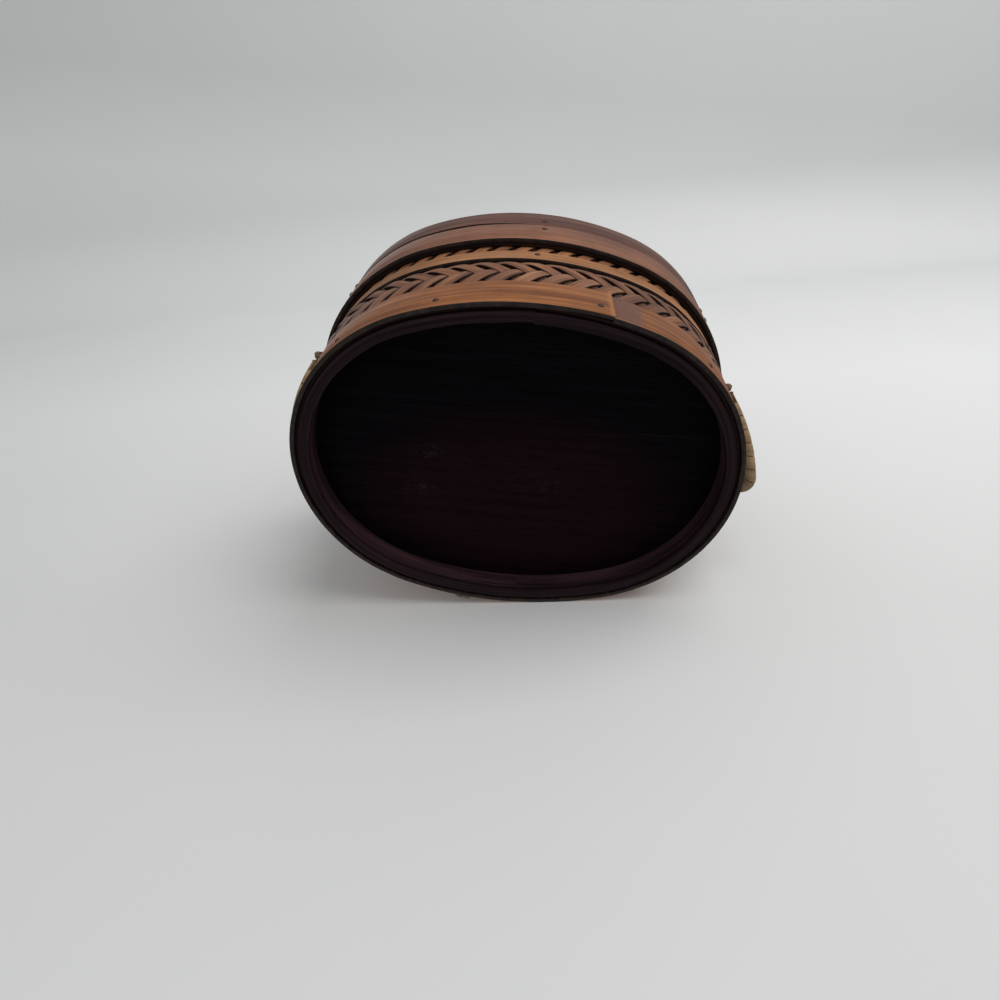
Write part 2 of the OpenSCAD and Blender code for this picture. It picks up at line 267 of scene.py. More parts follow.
def guide(start, heading, runs, closed=False):
    """A flat curve; each run has a length and an angle by which it turns left along it.

    A closed curve is followed from its last knot, so its start is put there."""
    widest_turn = radians(30)
    steps = []
    for length, turn in runs:
        count = max(1, ceil(abs(turn) / widest_turn))
        steps += [(length / count, turn / count)] * count
    place = Vector((start[0], start[1], 0))
    knots = [[place, None, None]]
    for length, turn in steps:
        ahead = Vector((cos(heading), sin(heading), 0))
        if turn:
            radius = length / turn
            reach = 4 / 3 * tan(turn / 4) * radius
            left = Vector((-sin(heading), cos(heading), 0))
            after = heading + turn
            end = place + radius * left + radius * Vector((sin(after), -cos(after), 0))
        else:
            reach = length / 3
            after = heading
            end = place + length * ahead
        knots[-1][2] = place + reach * ahead
        heading = after
        place = end
        knots.append([place, place - reach * Vector((cos(after), sin(after), 0)), None])
    if closed:
        knots[0][1] = knots.pop()[1]
        knots.append(knots.pop(0))
    curve = bpy.data.curves.new("guide", "CURVE")
    curve.dimensions = "3D"
    curve.twist_mode = "Z_UP"
    curve.resolution_u = 24
    spline = curve.splines.new("BEZIER")
    spline.bezier_points.add(len(knots) - 1)
    spline.use_cyclic_u = closed
    for point, (middle, before, behind) in zip(spline.bezier_points, knots):
        point.handle_left_type = point.handle_right_type = "FREE"
        point.co = middle
        point.handle_left = before or middle
        point.handle_right = behind or middle
    return placed("guide", curve)


def bend(piece, path):
    """Bends a straight piece along a guide and clears the guide away."""
    apply_modifier(piece, "CURVE", object=path, deform_axis="POS_X")
    bpy.data.objects.remove(path)


def run_length(runs):
    return sum(length for length, turn in runs)


def wall_point(direction, off):
    """Place on the wall that faces a direction, at a distance outside the bottom hoop."""
    if abs(cos(direction)) > cos(MEET):
        side = 1 if cos(direction) > 0 else -1
        centre = Vector((side * END_C, 0, 0))
        radius = END_R + off
    else:
        side = 1 if sin(direction) > 0 else -1
        centre = Vector((0, -side * SIDE_D, 0))
        radius = SIDE_R + off
    return centre + radius * Vector((cos(direction), sin(direction), 0))


def along_wall(direction):
    """Length of the bottom hoop's outline from the +X end to the place that faces a direction."""
    arcs = ((MEET, END_R), (pi - MEET, SIDE_R), (pi + MEET, END_R), (2 * pi - MEET, SIDE_R),
            (2 * pi, END_R))
    done = 0.0
    length = 0.0
    for stop, radius in arcs:
        part = max(0.0, min(direction, stop) - done)
        length += part * radius
        done += part
    return length


def oval_guide(direction):
    """The bottom hoop's outline, from the place that faces a direction once round to the left."""
    meets = (MEET, pi - MEET, pi + MEET, 2 * pi - MEET)
    ahead = sorted(direction + (m - direction) % (2 * pi) for m in meets)
    stops = [direction, *ahead, direction + 2 * pi]
    runs = []
    for a, b in zip(stops, stops[1:]):
        radius = END_R if abs(cos((a + b) / 2)) > cos(MEET) else SIDE_R
        if b - a > SAME:
            runs.append(((b - a) * radius, b - a))
    return guide(wall_point(direction, 0).xy, direction + pi / 2, runs, closed=True)


def reach_x(y, off):
    """Half the oval's length at a distance from its long axis."""
    if abs(y) < (END_R + off) * sin(MEET):
        return END_C + sqrt((END_R + off) ** 2 - y * y)
    return sqrt((SIDE_R + off) ** 2 - (abs(y) + SIDE_D) ** 2)


def reach_y(x, off):
    """Half the oval's width at a distance from its short axis."""
    if abs(x) < END_C + (END_R + off) * cos(MEET):
        return sqrt((SIDE_R + off) ** 2 - x * x) - SIDE_D
    return sqrt((END_R + off) ** 2 - (abs(x) - END_C) ** 2)


def out_of(node):
    """How far a CAD node stands out from the bottom hoop's outline."""
    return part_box(node)[1].x - HALF_LEN


def new_grain(mesh):
    """Replaces a mesh's UV maps by an empty one for the grain."""
    while mesh.uv_layers:
        mesh.uv_layers.remove(mesh.uv_layers[0])
    return mesh.uv_layers.new(name="grain")


def lay_grain(piece, inside=1):
    """Keeps the straight strip's length and height as a UV map, for grain that follows the bend.

    Depth inside the bottom hoop's outline is counted as many times as inside says."""
    mesh = piece.data
    layer = new_grain(mesh)
    for loop in mesh.loops:
        place = mesh.vertices[loop.vertex_index].co
        layer.data[loop.index].uv = (place.x, place.z - place.y * (inside if place.y > 0 else 1))


def cut_across(piece, counts):
    """Cuts a straight piece into short lengths, so that it can bend."""
    for count in counts:
        edit_edges(piece, lambda a, b: abs(a.y - b.y) + abs(a.z - b.z) < SAME)
        bpy.ops.mesh.subdivide(number_cuts=count)
    leave_edit()


def straight_strip(name, length, out, inside, low, high, edge=STRIP_EDGE, cuts=(17, 21)):
    """A flat strip with eased edges: length along X, outer face towards -Y."""
    select_only()
    bpy.ops.mesh.primitive_cube_add(size=1)
    strip = bpy.context.object
    strip.name = name
    strip.scale = (length, out - inside, high - low)
    strip.location = (length / 2, -(out + inside) / 2, (low + high) / 2)
    bpy.ops.object.transform_apply(location=True, rotation=False, scale=True)
    edit_edges(strip, lambda a, b: abs(a.x - b.x) > length / 2)
    bpy.ops.mesh.bevel(offset=edge, segments=2, affect="EDGES")
    cut_across(strip, cuts)
    return strip


def lap_end(strip, rise, reach):
    """Lifts the far end of a strip over its near end."""
    length = max(v.co.x for v in strip.data.vertices)
    for vertex in strip.data.vertices:
        share = max(0, (vertex.co.x - length + reach) / reach)
        vertex.co.y -= rise * share * share * (3 - 2 * share)


def roughen(strip, depth):
    """Gives a split strip its slightly uneven faces."""
    cloud = bpy.data.textures.new("uneven", "CLOUDS")
    cloud.noise_scale = UNEVEN_SIZE
    cloud.noise_depth = 1
    apply_modifier(strip, "DISPLACE", texture=cloud, texture_coords="LOCAL", direction="NORMAL",
                   strength=depth, mid_level=0.5)


def gape(strip, low, lap, gaps):
    """Raises a strip's lower edge over parts of its way; each gap has four directions, in order."""
    for vertex in strip.data.vertices:
        if vertex.co.z > low + SEAM_EDGE_H:
            continue
        for stops in gaps:
            a, b, c, d = ((along_wall(radians(t)) - along_wall(lap)) % ROUND for t in stops)
            share = min((vertex.co.x - a) / (b - a), 1, (d - vertex.co.x) / (d - c))
            if share > 0:
                vertex.co.z += SEAM_GAP_H * share


def bent_hoop(name, out, inside, low, high, lap, rise=0.0, reach=LAP_REACH, edge=STRIP_EDGE,
              uneven=0.0, gaps=()):
    """A strip bent once round the box."""
    strip = straight_strip(name, ROUND, out, inside, low, high, edge)
    if rise:
        lap_end(strip, rise, reach)
    lay_grain(strip, CUT_GRAIN)
    gape(strip, low, lap, gaps)
    if uneven:
        roughen(strip, uneven)
    bend(strip, oval_guide(lap))
    settle(strip)
    return strip


def hoop(name, node, thick, lap, material, slot, body, trimmed=0.0, **more):
    """Hands in a bent hoop with the outline and height of a CAD node, its upper edge trimmed."""
    low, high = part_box(node)
    out = out_of(node)
    strip = bent_hoop(name, out, out - thick, low.z, high.z - trimmed, lap, **more)
    hand_in(strip, material, slot, body, node)


# Cane: flat sections, plaits and wrappings

def strip_section(width, thick, crown, ease):
    """Outline of a flat cane strip, X across it and Y through it, rounded on its outer face."""
    half = width / 2
    upper = [(half * k / 3, thick / 2 - crown * (k / 3) ** 2) for k in (2, 1, 0, -1, -2)]
    return ([(half, -thick / 2 + ease), (half, 0), (half - ease, thick / 2 - crown)] + upper
            + [(ease - half, thick / 2 - crown), (-half, 0), (-half, -thick / 2 + ease),
               (ease - half, -thick / 2), (half - ease, -thick / 2)])


def section_curve(points):
    """A closed flat curve used as the section of a strand."""
    curve = bpy.data.curves.new("section", "CURVE")
    curve.dimensions = "2D"
    spline = curve.splines.new("POLY")
    spline.points.add(len(points) - 1)
    spline.use_cyclic_u = True
    for point, (x, y) in zip(spline.points, points):
        point.co = (x, y, 0, 1)
    return placed("section", curve)


def ring_grain(piece, step, section, shift=0.0):
    """Grain along a piece made of equal rings: u counts rings, v goes across the strip."""
    mesh = piece.data
    layer = new_grain(mesh)
    for loop in mesh.loops:
        ring, k = divmod(loop.vertex_index, len(section))
        layer.data[loop.index].uv = (shift + ring * step, section[k][0])


def plait_strand(length, waves, swing, lift, phase, section):
    """One strand of a plait, lying flat: X along the band, Y across it, Z out of it.

    It lies in front while it climbs from the band's lower edge and while it falls from the upper
    edge, and behind on the rest of its way. A second UV map keeps how deep it lies."""
    steps_per_wave = 56
    sharpen = 0.08
    grain_gain = 1.5
    count = round(waves * steps_per_wave)
    angles = [2 * pi * waves * i / count + phase for i in range(count + 1)]
    curve = bpy.data.curves.new("strand", "CURVE")
    curve.dimensions = "3D"
    curve.twist_mode = "Z_UP"
    outline = section_curve(section)
    curve.bevel_mode = "OBJECT"
    curve.bevel_object = outline
    curve.use_fill_caps = False
    spline = curve.splines.new("POLY")
    spline.points.add(count)
    for i, (point, angle) in enumerate(zip(spline.points, angles)):
        across = swing * (sin(angle) - sharpen * sin(3 * angle)) / (1 + sharpen)
        point.co = (length * i / count, across, -lift * sin(2 * angle), 1)
    select_only(placed("strand", curve))
    bpy.ops.object.convert(target="MESH")
    strand = bpy.context.object
    bpy.data.objects.remove(outline)
    ring_grain(strand, grain_gain * length / count, section, shift=phase)
    layer = strand.data.uv_layers.new(name="depth")
    for loop in strand.data.loops:
        angle = angles[loop.vertex_index // len(section)]
        layer.data[loop.index].uv = (sin(2 * angle), 0)
    return strand


def trim(piece, height, upwards):
    """Cuts off what lies above a height, or below it, and closes the cut."""
    edit_all(piece)
    bpy.ops.mesh.bisect(plane_co=(0, 0, height), plane_no=(0, 0, 1), use_fill=True,
                        clear_outer=upwards, clear_inner=not upwards)
    leave_edit()


def plait(name, node, lobes, width, lift, crest, tuck, level, reach, crossing, lower_by=0.0):
    """A band plaited of flat strands, bent once round the box over a CAD node's place.

    The crest is how far the band's middle stands out from the bottom hoop's outline and the tuck
    how much deeper its edges lie. The strands swing about the level by the reach below and above
    it, and are trimmed where the hoops hold them. One of them climbs through the level where the
    wall faces the crossing's direction."""
    low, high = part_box(node)
    below, above = reach
    waves = lobes / STRANDS
    phase = -2 * pi * waves * (along_wall(crossing) - along_wall(HIDDEN_LAP)) / ROUND
    section = strip_section(width, STRAND_T, STRAND_CROWN, STRAND_EASE)
    swing = below - width / 2
    band = join(name, [plait_strand(ROUND, waves, swing, lift, phase + 2 * pi * k / STRANDS, section)
                       for k in range(STRANDS)])
    middle = crest - lift - STRAND_T / 2
    band.data.transform(Matrix.Translation((0, -middle, 0)) @ Matrix.Rotation(pi / 2, 4, "X"))
    centre = (low.z + high.z) / 2
    for vertex in band.data.vertices:
        if vertex.co.z > 0:
            vertex.co.z *= above / below
        vertex.co.z += level
        vertex.co.y += tuck * ((vertex.co.z - centre) / (high.z - centre)) ** 2
    trim(band, low.z + PLAIT_GAP - lower_by, False)
    trim(band, high.z - PLAIT_GAP, True)
    bend(band, oval_guide(HIDDEN_LAP))
    settle(band)
    return band


def wound_cane(name, length, pitch, radius, section):
    """A flat cane strip wound round the X axis over a length, without going past either end."""
    steps = 20
    select_only()
    bpy.ops.mesh.primitive_circle_add(vertices=len(section), radius=1)
    coil = bpy.context.object
    coil.name = name
    begin = max(x for x, y in section)
    turns = int((length - 2 * begin) / pitch)
    for vertex, (x, y) in zip(coil.data.vertices, section):
        vertex.co = (begin + x, radius + y, 0)
    apply_modifier(coil, "SCREW", axis="X", angle=2 * pi, screw_offset=pitch, iterations=turns,
                   steps=steps, render_steps=steps, use_merge_vertices=False)
    ring_grain(coil, 2 * pi * radius / steps, section)
    edit_all(coil)
    bpy.ops.mesh.fill_holes(sides=0)
    leave_edit()
    return coil


# Materials

BLACK = (0, 0, 0)
WHITE = (1, 1, 1)


def new_material(name):
    """A material with an empty tree but for its shader and output."""
    material = bpy.data.materials.new(name)
    material.use_nodes = True
    tree = material.node_tree
    return material, tree, tree.nodes["Principled BSDF"]


def add(tree, kind, values=None, **settings):
    """Adds a node, sets its properties and its inputs' values, and links inputs given as sockets."""
    made = tree.nodes.new(kind)
    for key, value in settings.items():
        setattr(made, key, value)
    for key, value in (values or {}).items():
        if isinstance(value, bpy.types.NodeSocket):
            tree.links.new(value, made.inputs[key])
        else:
            made.inputs[key].default_value = value
    return made


def ramp(tree, source, *stops):
    """A colour ramp over a value; each stop is its place and its colour."""
    made = add(tree, "ShaderNodeValToRGB", {"Fac": source})
    line = made.color_ramp
    while len(line.elements) < len(stops):
        line.elements.new(0.5)
    for element, (place, colour) in zip(line.elements, stops):
        element.position = place
        element.color = (*colour, 1)
    return made.outputs["Color"]


def mix(tree, share, first, second, how="MIX"):
    """Mixes two colours; each may be a socket or a plain colour."""
    first = first if isinstance(first, bpy.types.NodeSocket) else (*first, 1)
    second = second if isinstance(second, bpy.types.NodeSocket) else (*second, 1)
    made = add(tree, "ShaderNodeMix", {0: share, 6: first, 7: second}, data_type="RGBA",
               blend_type=how)
    return made.outputs[2]


def calc(tree, how, first, second):
    """One step of arithmetic on two values."""
    return add(tree, "ShaderNodeMath", {0: first, 1: second}, operation=how).outputs[0]


def average(tree, first, second):
    """The middle between two values."""
    return calc(tree, "MULTIPLY", calc(tree, "ADD", first, second), 0.5)


def fade(tree, source, start, end, first, last):
    """A value that goes from its first to its last while a source goes from start to end."""
    made = add(tree, "ShaderNodeMapRange", {0: source, 1: start, 2: end, 3: first, 4: last})
    return made.outputs[0]


def noise(tree, coords, scale, detail, rough, stretch=(1, 1, 1)):
    """Noise over stretched coordinates, as a value."""
    spread = add(tree, "ShaderNodeMapping", {"Vector": coords, "Scale": stretch})
    made = add(tree, "ShaderNodeTexNoise", {"Vector": spread.outputs["Vector"], "Scale": scale,
                                            "Detail": detail, "Roughness": rough})
    return made.outputs["Fac"]


def own_map(tree, name):
    """One of the piece's UV maps."""
    return add(tree, "ShaderNodeUVMap", uv_map=name).outputs["UV"]


def object_coords(tree):
    return add(tree, "ShaderNodeTexCoord").outputs["Object"]


def apart(tree, vector):
    """The three parts of a vector."""
    return add(tree, "ShaderNodeSeparateXYZ", {"Vector": vector}).outputs


def bump(tree, shader, height, strength, distance):
    made = add(tree, "ShaderNodeBump",
               {"Height": height, "Strength": strength, "Distance": distance})
    tree.links.new(made.outputs["Normal"], shader.inputs["Normal"])


def scaled(colour, by):
    return tuple(c * by for c in colour)


def strip_look(name, dark, plain, light, stain_and_shade, rough=0.5, fibre=1500, run=28, dirt=0.35, shine=0.25,
               patch=None, edge=None, level=0.0, outline=0.0, border=0.55 * MM, in_plait=False):
    """Split bamboo or cane: fibres along the strip, slow changes of tone, old dirt, painted shade and
    a worn varnish.

    Fibre and run say how fine the fibres are across and along the strip. A patch is the worn start
    of a hoop: where it fades, where it ends, and its colour. Edge is painted shade on a hoop's lower
    face, which lies at the level, with a painted highlight just above that edge. An outline is painted
    shade that darkens both long edges of a strip of that half width over the border. In a plait,
    painted shade darkens what lies under other strands, and lengths differ in tint. The stain colour
    serves both for dirt and for painted shade."""
    material, tree, shader = new_material(name)
    coords = own_map(tree, "grain")
    place = object_coords(tree)
    fibres = noise(tree, coords, scale=1.0, detail=5, rough=0.65, stretch=(run, fibre, 1))
    bands = noise(tree, coords, scale=1.0, detail=3, rough=0.5, stretch=(run * 0.35, fibre * 0.22, 1))
    colour = ramp(tree, average(tree, fibres, bands), (0.36, dark), (0.49, plain), (0.62, light))
    slow = noise(tree, place, scale=22.0, detail=3, rough=0.6)
    tone = ramp(tree, slow, (0.35, (0.72, 0.72, 0.72)), (0.6, (1.08, 1.04, 1.0)))
    colour = mix(tree, 1.0, colour, tone, "MULTIPLY")
    spots = noise(tree, place, scale=140.0, detail=6, rough=0.7)
    dirty = ramp(tree, spots, (0.56, BLACK), (0.74, WHITE))
    colour = mix(tree, calc(tree, "MULTIPLY", dirty, dirt), colour, stain_and_shade)
    along, across, _ = apart(tree, coords)
    if patch:
        start, end, grey = patch
        speck = noise(tree, place, scale=900.0, detail=5, rough=0.7)
        rough_grey = ramp(tree, speck, (0.4, scaled(grey, 0.62)), (0.62, grey))
        colour = mix(tree, fade(tree, along, start, end, 1.0, 0.0), colour, rough_grey)
        sawn = fade(tree, along, ROUND - 2.4 * MM, ROUND - 1.0 * MM, 0.0, 0.7)
        colour = mix(tree, sawn, colour, light)
    if edge:
        # Painted highlight: a lighter line just above the hoop's lower edge
        eased = fade(tree, across, level + 0.3 * MM, level + 1.1 * MM, 0.45, 0.0)
        colour = mix(tree, eased, colour, scaled(light, 1.25))
        # Painted shade: the hoop's lower face and a thin line above it go near-black, speckled by
        # noise
        cut = fade(tree, across, level - 0.1 * MM, level + 0.35 * MM, 1.0, 0.0)
        shade_speckle = noise(tree, place, scale=260.0, detail=5, rough=0.7)
        colour = mix(tree, cut, colour, ramp(tree, shade_speckle, (0.42, edge), (0.7, scaled(edge, 4))))
    if outline:
        # Painted shade: both long edges of each strip darkened, standing for shadows between strands
        off_middle = add(tree, "ShaderNodeMath", {0: across}, operation="ABSOLUTE").outputs[0]
        shade = fade(tree, off_middle, outline - border, outline - 0.1 * MM, 0.0, 0.9)
        colour = mix(tree, shade, colour, stain_and_shade)
    if in_plait:
        # Painted shade: strands darker where they lie under other strands
        depth, *_ = apart(tree, own_map(tree, "depth"))
        colour = mix(tree, fade(tree, depth, -0.1, 0.8, 0.0, 0.7), colour, stain_and_shade)
        lots = noise(tree, coords, scale=1.0, detail=1, rough=0.5, stretch=(24, 0, 1))
        tint = ramp(tree, lots, (0.36, (0.76, 0.72, 0.76)), (0.5, (0.95, 0.93, 0.92)),
                    (0.64, (1.24, 1.2, 1.02)))
        colour = mix(tree, 1.0, colour, tint, "MULTIPLY")
    tree.links.new(colour, shader.inputs["Base Color"])
    shader.inputs["Specular IOR Level"].default_value = shine
    gloss = ramp(tree, fibres, (0.3, scaled(WHITE, rough + 0.14)), (0.7, scaled(WHITE, rough - 0.06)))
    tree.links.new(gloss, shader.inputs["Roughness"])
    bump(tree, shader, fibres, strength=0.25, distance=0.15 * MM)
    return material


def oval_patch(tree, place, middle, reach):
    """A soft patch on the board, in mm: one at its middle and nothing beyond its reach."""
    scale = [1 / (reach[0] * MM), 1 / (reach[1] * MM), 0]
    shift = [-middle[0] * MM * scale[0], -middle[1] * MM * scale[1], 0]
    spread = add(tree, "ShaderNodeMapping", {"Vector": place, "Scale": scale, "Location": shift})
    made = add(tree, "ShaderNodeTexGradient", {"Vector": spread.outputs["Vector"]},
               gradient_type="SPHERICAL")
    return made.outputs["Fac"]


# Worn middle, dusty scuffs and scratch of the board: middle and reach in mm, and strength
WORN_MIDDLE = ((-3, -24), (95, 64))
SCUFFS = (((43, -19), (40, 20), 0.34), ((38, 2), (46, 22), 0.24), ((-12, -10), (80, 42), 0.16))
SCRATCH = ((-64, 20), (24, 0.35))
SCRATCH_STRENGTH = 0.1


def board_look(name, dark, plain, light, worn, dust):
    """Dark stained board: grain along X, a worn middle, dusty scuffs and a scratch."""
    material, tree, shader = new_material(name)
    place = object_coords(tree)
    grain = noise(tree, place, scale=1.0, detail=6, rough=0.6, stretch=(9, 260, 260))
    pores = noise(tree, place, scale=1.0, detail=4, rough=0.7, stretch=(45, 1500, 1500))
    both = average(tree, grain, pores)
    colour = ramp(tree, both, (0.38, dark), (0.5, plain), (0.63, light))
    middle = ramp(tree, oval_patch(tree, place, *WORN_MIDDLE), (0.05, BLACK), (0.5, WHITE))
    speck = noise(tree, place, scale=420.0, detail=5, rough=0.75)
    reddish = ramp(tree, speck, (0.35, scaled(worn, 0.55)), (0.65, worn))
    colour = mix(tree, calc(tree, "MULTIPLY", middle, both), colour, reddish)
    scuffs = noise(tree, place, scale=1.0, detail=8, rough=0.9, stretch=(240, 480, 480))
    for spot, reach, strength in SCUFFS:
        soft = calc(tree, "MULTIPLY", oval_patch(tree, place, spot, reach), 0.34)
        dusty = calc(tree, "ADD", soft, scuffs)
        share = ramp(tree, dusty, (0.81, BLACK), (0.93, scaled(WHITE, strength)))
        colour = mix(tree, share, colour, dust)
    scratch = ramp(tree, oval_patch(tree, place, *SCRATCH), (0.1, BLACK),
                   (0.6, scaled(WHITE, SCRATCH_STRENGTH)))
    colour = mix(tree, scratch, colour, dust)
    tree.links.new(colour, shader.inputs["Base Color"])
    shader.inputs["Roughness"].default_value = 0.6
    shader.inputs["Specular IOR Level"].default_value = 0.03
    bump(tree, shader, pores, strength=0.35, distance=0.2 * MM)
    return material


def iron_look(name, dark, plain, rust):
    """Old nail heads: dull grey with brown spots."""
    material, tree, shader = new_material(name)
    spots = noise(tree, object_coords(tree), scale=700.0, detail=5, rough=0.65)
    colour = ramp(tree, spots, (0.35, dark), (0.55, plain), (0.7, rust))
    tree.links.new(colour, shader.inputs["Base Color"])
    shader.inputs["Metallic"].default_value = 0.7
    rough = ramp(tree, spots, (0.3, scaled(WHITE, 0.35)), (0.7, scaled(WHITE, 0.65)))
    tree.links.new(rough, shader.inputs["Roughness"])
    bump(tree, shader, spots, strength=0.3, distance=0.1 * MM)
    return material


def lower_edge(node):
    """Where a hoop's grain map has the lower edge of its outer face."""
    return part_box(node)[0].z + out_of(node)


# Each has its dark, plain and light fibres and the colour that both its dirt and its painted shade
# take. An edge colour is painted shade on a hoop's lower face, which also gets a painted highlight.
honey = strip_look(
    "honey_bamboo", (0.11, 0.034, 0.009), (0.216, 0.072, 0.019), (0.355, 0.14, 0.045),
    (0.055, 0.022, 0.01), patch=(10 * MM, 14 * MM, (0.17, 0.072, 0.043)), edge=(0.009, 0.0055, 0.004))
tan_strip = strip_look(
    "tan_bamboo", (0.165, 0.064, 0.023), (0.285, 0.125, 0.05), (0.395, 0.2, 0.092),
    (0.10, 0.045, 0.02), edge=(0.012, 0.006, 0.004), level=lower_edge("mid_hoop"))
red_strip = strip_look(
    "red_bamboo", (0.125, 0.044, 0.022), (0.214, 0.086, 0.045), (0.30, 0.14, 0.08),
    (0.07, 0.03, 0.018), edge=(0.009, 0.005, 0.004), level=lower_edge("lid_lower_hoop"))
grey_strip = strip_look(
    "grey_bamboo", (0.06, 0.022, 0.013), (0.107, 0.042, 0.026), (0.17, 0.08, 0.055),
    (0.05, 0.02, 0.015), edge=(0.006, 0.004, 0.004), level=lower_edge("lid_upper_hoop"))
# Near-black, standing for the shade under the lid's overhang and behind the seam and gaps: painted
# shade
shade_dark_strip = strip_look(
    "dark_bamboo", (0.01, 0.005, 0.004), (0.02, 0.009, 0.007), (0.038, 0.018, 0.014),
    (0.008, 0.0045, 0.004), rough=0.6, shine=0.1)
plaited = strip_look(
    "plaited_cane", (0.09, 0.036, 0.017), (0.18, 0.076, 0.039), (0.29, 0.145, 0.08),
    (0.022, 0.009, 0.006), fibre=1100, run=45, outline=LOWER_STRAND / 2, in_plait=True)
fine_plaited = strip_look(
    "fine_plaited_cane", (0.12, 0.045, 0.02), (0.235, 0.098, 0.045), (0.34, 0.165, 0.085),
    (0.022, 0.009, 0.006), fibre=1100, run=45, outline=UPPER_STRAND / 2, in_plait=True)
strap = strip_look(
    "strap_cane", (0.09, 0.052, 0.034), (0.15, 0.09, 0.058), (0.21, 0.13, 0.085),
    (0.06, 0.034, 0.024))
grip_cane = strip_look(
    "pale_cane", (0.165, 0.1, 0.046), (0.265, 0.175, 0.088), (0.36, 0.25, 0.14),
    (0.09, 0.048, 0.022), fibre=1200, run=60, dirt=0.55, outline=WRAP_W / 2, border=0.42 * MM)
# Darker than the handles' pale cane: painted shade for the loop, which lies in the box's shadow
loop_cane = strip_look(
    "loop_cane", (0.09, 0.06, 0.04), (0.16, 0.115, 0.08), (0.24, 0.18, 0.13),
    (0.06, 0.038, 0.025), fibre=1200, run=60)
lining = strip_look(
    "lid_lining", (0.03, 0.014, 0.01), (0.055, 0.026, 0.018), (0.09, 0.045, 0.03),
    (0.03, 0.015, 0.012), shine=0.1)
woven = strip_look(
    "woven_bamboo", (0.16, 0.075, 0.035), (0.29, 0.15, 0.075), (0.39, 0.23, 0.125),
    (0.09, 0.045, 0.025))
foot = strip_look(
    "foot_wood", (0.006, 0.003, 0.004), (0.014, 0.0068, 0.0092), (0.03, 0.015, 0.019),
    (0.004, 0.003, 0.003), rough=0.62, shine=0.08, fibre=900, run=20)
foot_inside = strip_look(
    "foot_inside_wood", (0.009, 0.0045, 0.0058), (0.027, 0.0125, 0.0165), (0.062, 0.03, 0.037),
    (0.006, 0.004, 0.0045), rough=0.62, shine=0.08, fibre=700, run=20)
# The board has a worn colour and a dust colour instead of a stain
maroon = board_look(
    "maroon_board", (0.0006, 0.0006, 0.0012), (0.0018, 0.0013, 0.0022), (0.005, 0.003, 0.004),
    (0.02, 0.005, 0.008), (0.06, 0.045, 0.042))
iron = iron_look("iron", (0.012, 0.009, 0.008), (0.05, 0.04, 0.034), (0.07, 0.034, 0.02))


# Body

def box_body():
    node = frame["nodes"]["base_board"]
    node.data.materials.clear()
    node.data.materials.append(maroon)
    low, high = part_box("foot_hoop")
    inside = out_of("foot_hoop") - FOOT_T
    wall_out = out_of("body_wall")
    wall_in = wall_out - WALL_T
    rim = bent_hoop("foot_rim", wall_out, inside - FOOT_LIP, low.z, FOOT_EDGE_H, FOOT_LAP,
                    rise=0.6 * MM, reach=16 * MM, edge=0.5 * MM, uneven=0.5 * MM)
    behind = bent_hoop("foot_lining", wall_in, inside, FOOT_EDGE_H - LINING_DOWN, high.z, HIDDEN_LAP)
    hand_in(rim, foot, "foot_wood", "box", "foot_hoop")
    hand_in(behind, foot_inside, "foot_wood", "box")
    wall = bent_hoop("body_wall_strip", wall_out, wall_in, FOOT_EDGE_H + WALL_GAP,
                     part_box("body_wall")[1].z, HIDDEN_LAP)
    hand_in(wall, shade_dark_strip, "dark_bamboo", "box", "body_wall")
    hoop("bottom_packing_strip", "bottom_packing", PACKING_T, HIDDEN_LAP, shade_dark_strip, "dark_bamboo",
         "box")
    hoop("mid_packing_strip", "mid_packing", PACKING_T, HIDDEN_LAP, shade_dark_strip, "dark_bamboo", "box")
    hoop("bottom_hoop_strip", "bottom_hoop", HOOP_T, BOTTOM_LAP, honey, "honey_bamboo", "box",
         trimmed=HOOP_TRIM, rise=LAP_RISE, uneven=HOOP_UNEVEN)
    hoop("mid_hoop_strip", "mid_hoop", HOOP_T, MID_LAP, tan_strip, "tan_bamboo", "box",
         rise=LAP_RISE, uneven=HOOP_UNEVEN)
    hoop("neck_hoop_strip", "neck_hoop", NECK_T, HIDDEN_LAP, shade_dark_strip, "dark_bamboo", "box")
    hoop("rim_hoop_strip", "rim_hoop", RIM_T, HIDDEN_LAP, shade_dark_strip, "dark_bamboo", "box")


def box_plaits():
    lower = plait("lower_plait", "lower_braid", lobes=54, width=LOWER_STRAND, lift=0.7 * MM,
                  crest=0.6 * MM, tuck=0.9 * MM, level=34.9 * MM, reach=(16.4 * MM, 12.0 * MM),
                  crossing=radians(84.06), lower_by=1.3 * MM)
    hand_in(lower, plaited, "plaited_cane", "box", "lower_braid")
    upper = plait("upper_plait", "upper_braid", lobes=61, width=UPPER_STRAND, lift=0.6 * MM,
                  crest=-0.5 * MM, tuck=1.2 * MM, level=73.5 * MM, reach=(16 * MM, 16 * MM),
                  crossing=radians(83.75))
    hand_in(upper, fine_plaited, "plaited_cane", "box", "upper_braid")


# Lid

def oval_sheet(name, off, low, high):
    """A flat oval board."""
    count = 192
    select_only()
    bpy.ops.mesh.primitive_circle_add(vertices=count, radius=1, fill_type="NGON")
    sheet = bpy.context.object
    sheet.name = name
    for i, vertex in enumerate(sheet.data.vertices):
        vertex.co = wall_point(2 * pi * i / count, off) + Vector((0, 0, low))
    apply_modifier(sheet, "SOLIDIFY", thickness=high - low, offset=1)
    lay_grain(sheet)
    settle(sheet)
    return sheet


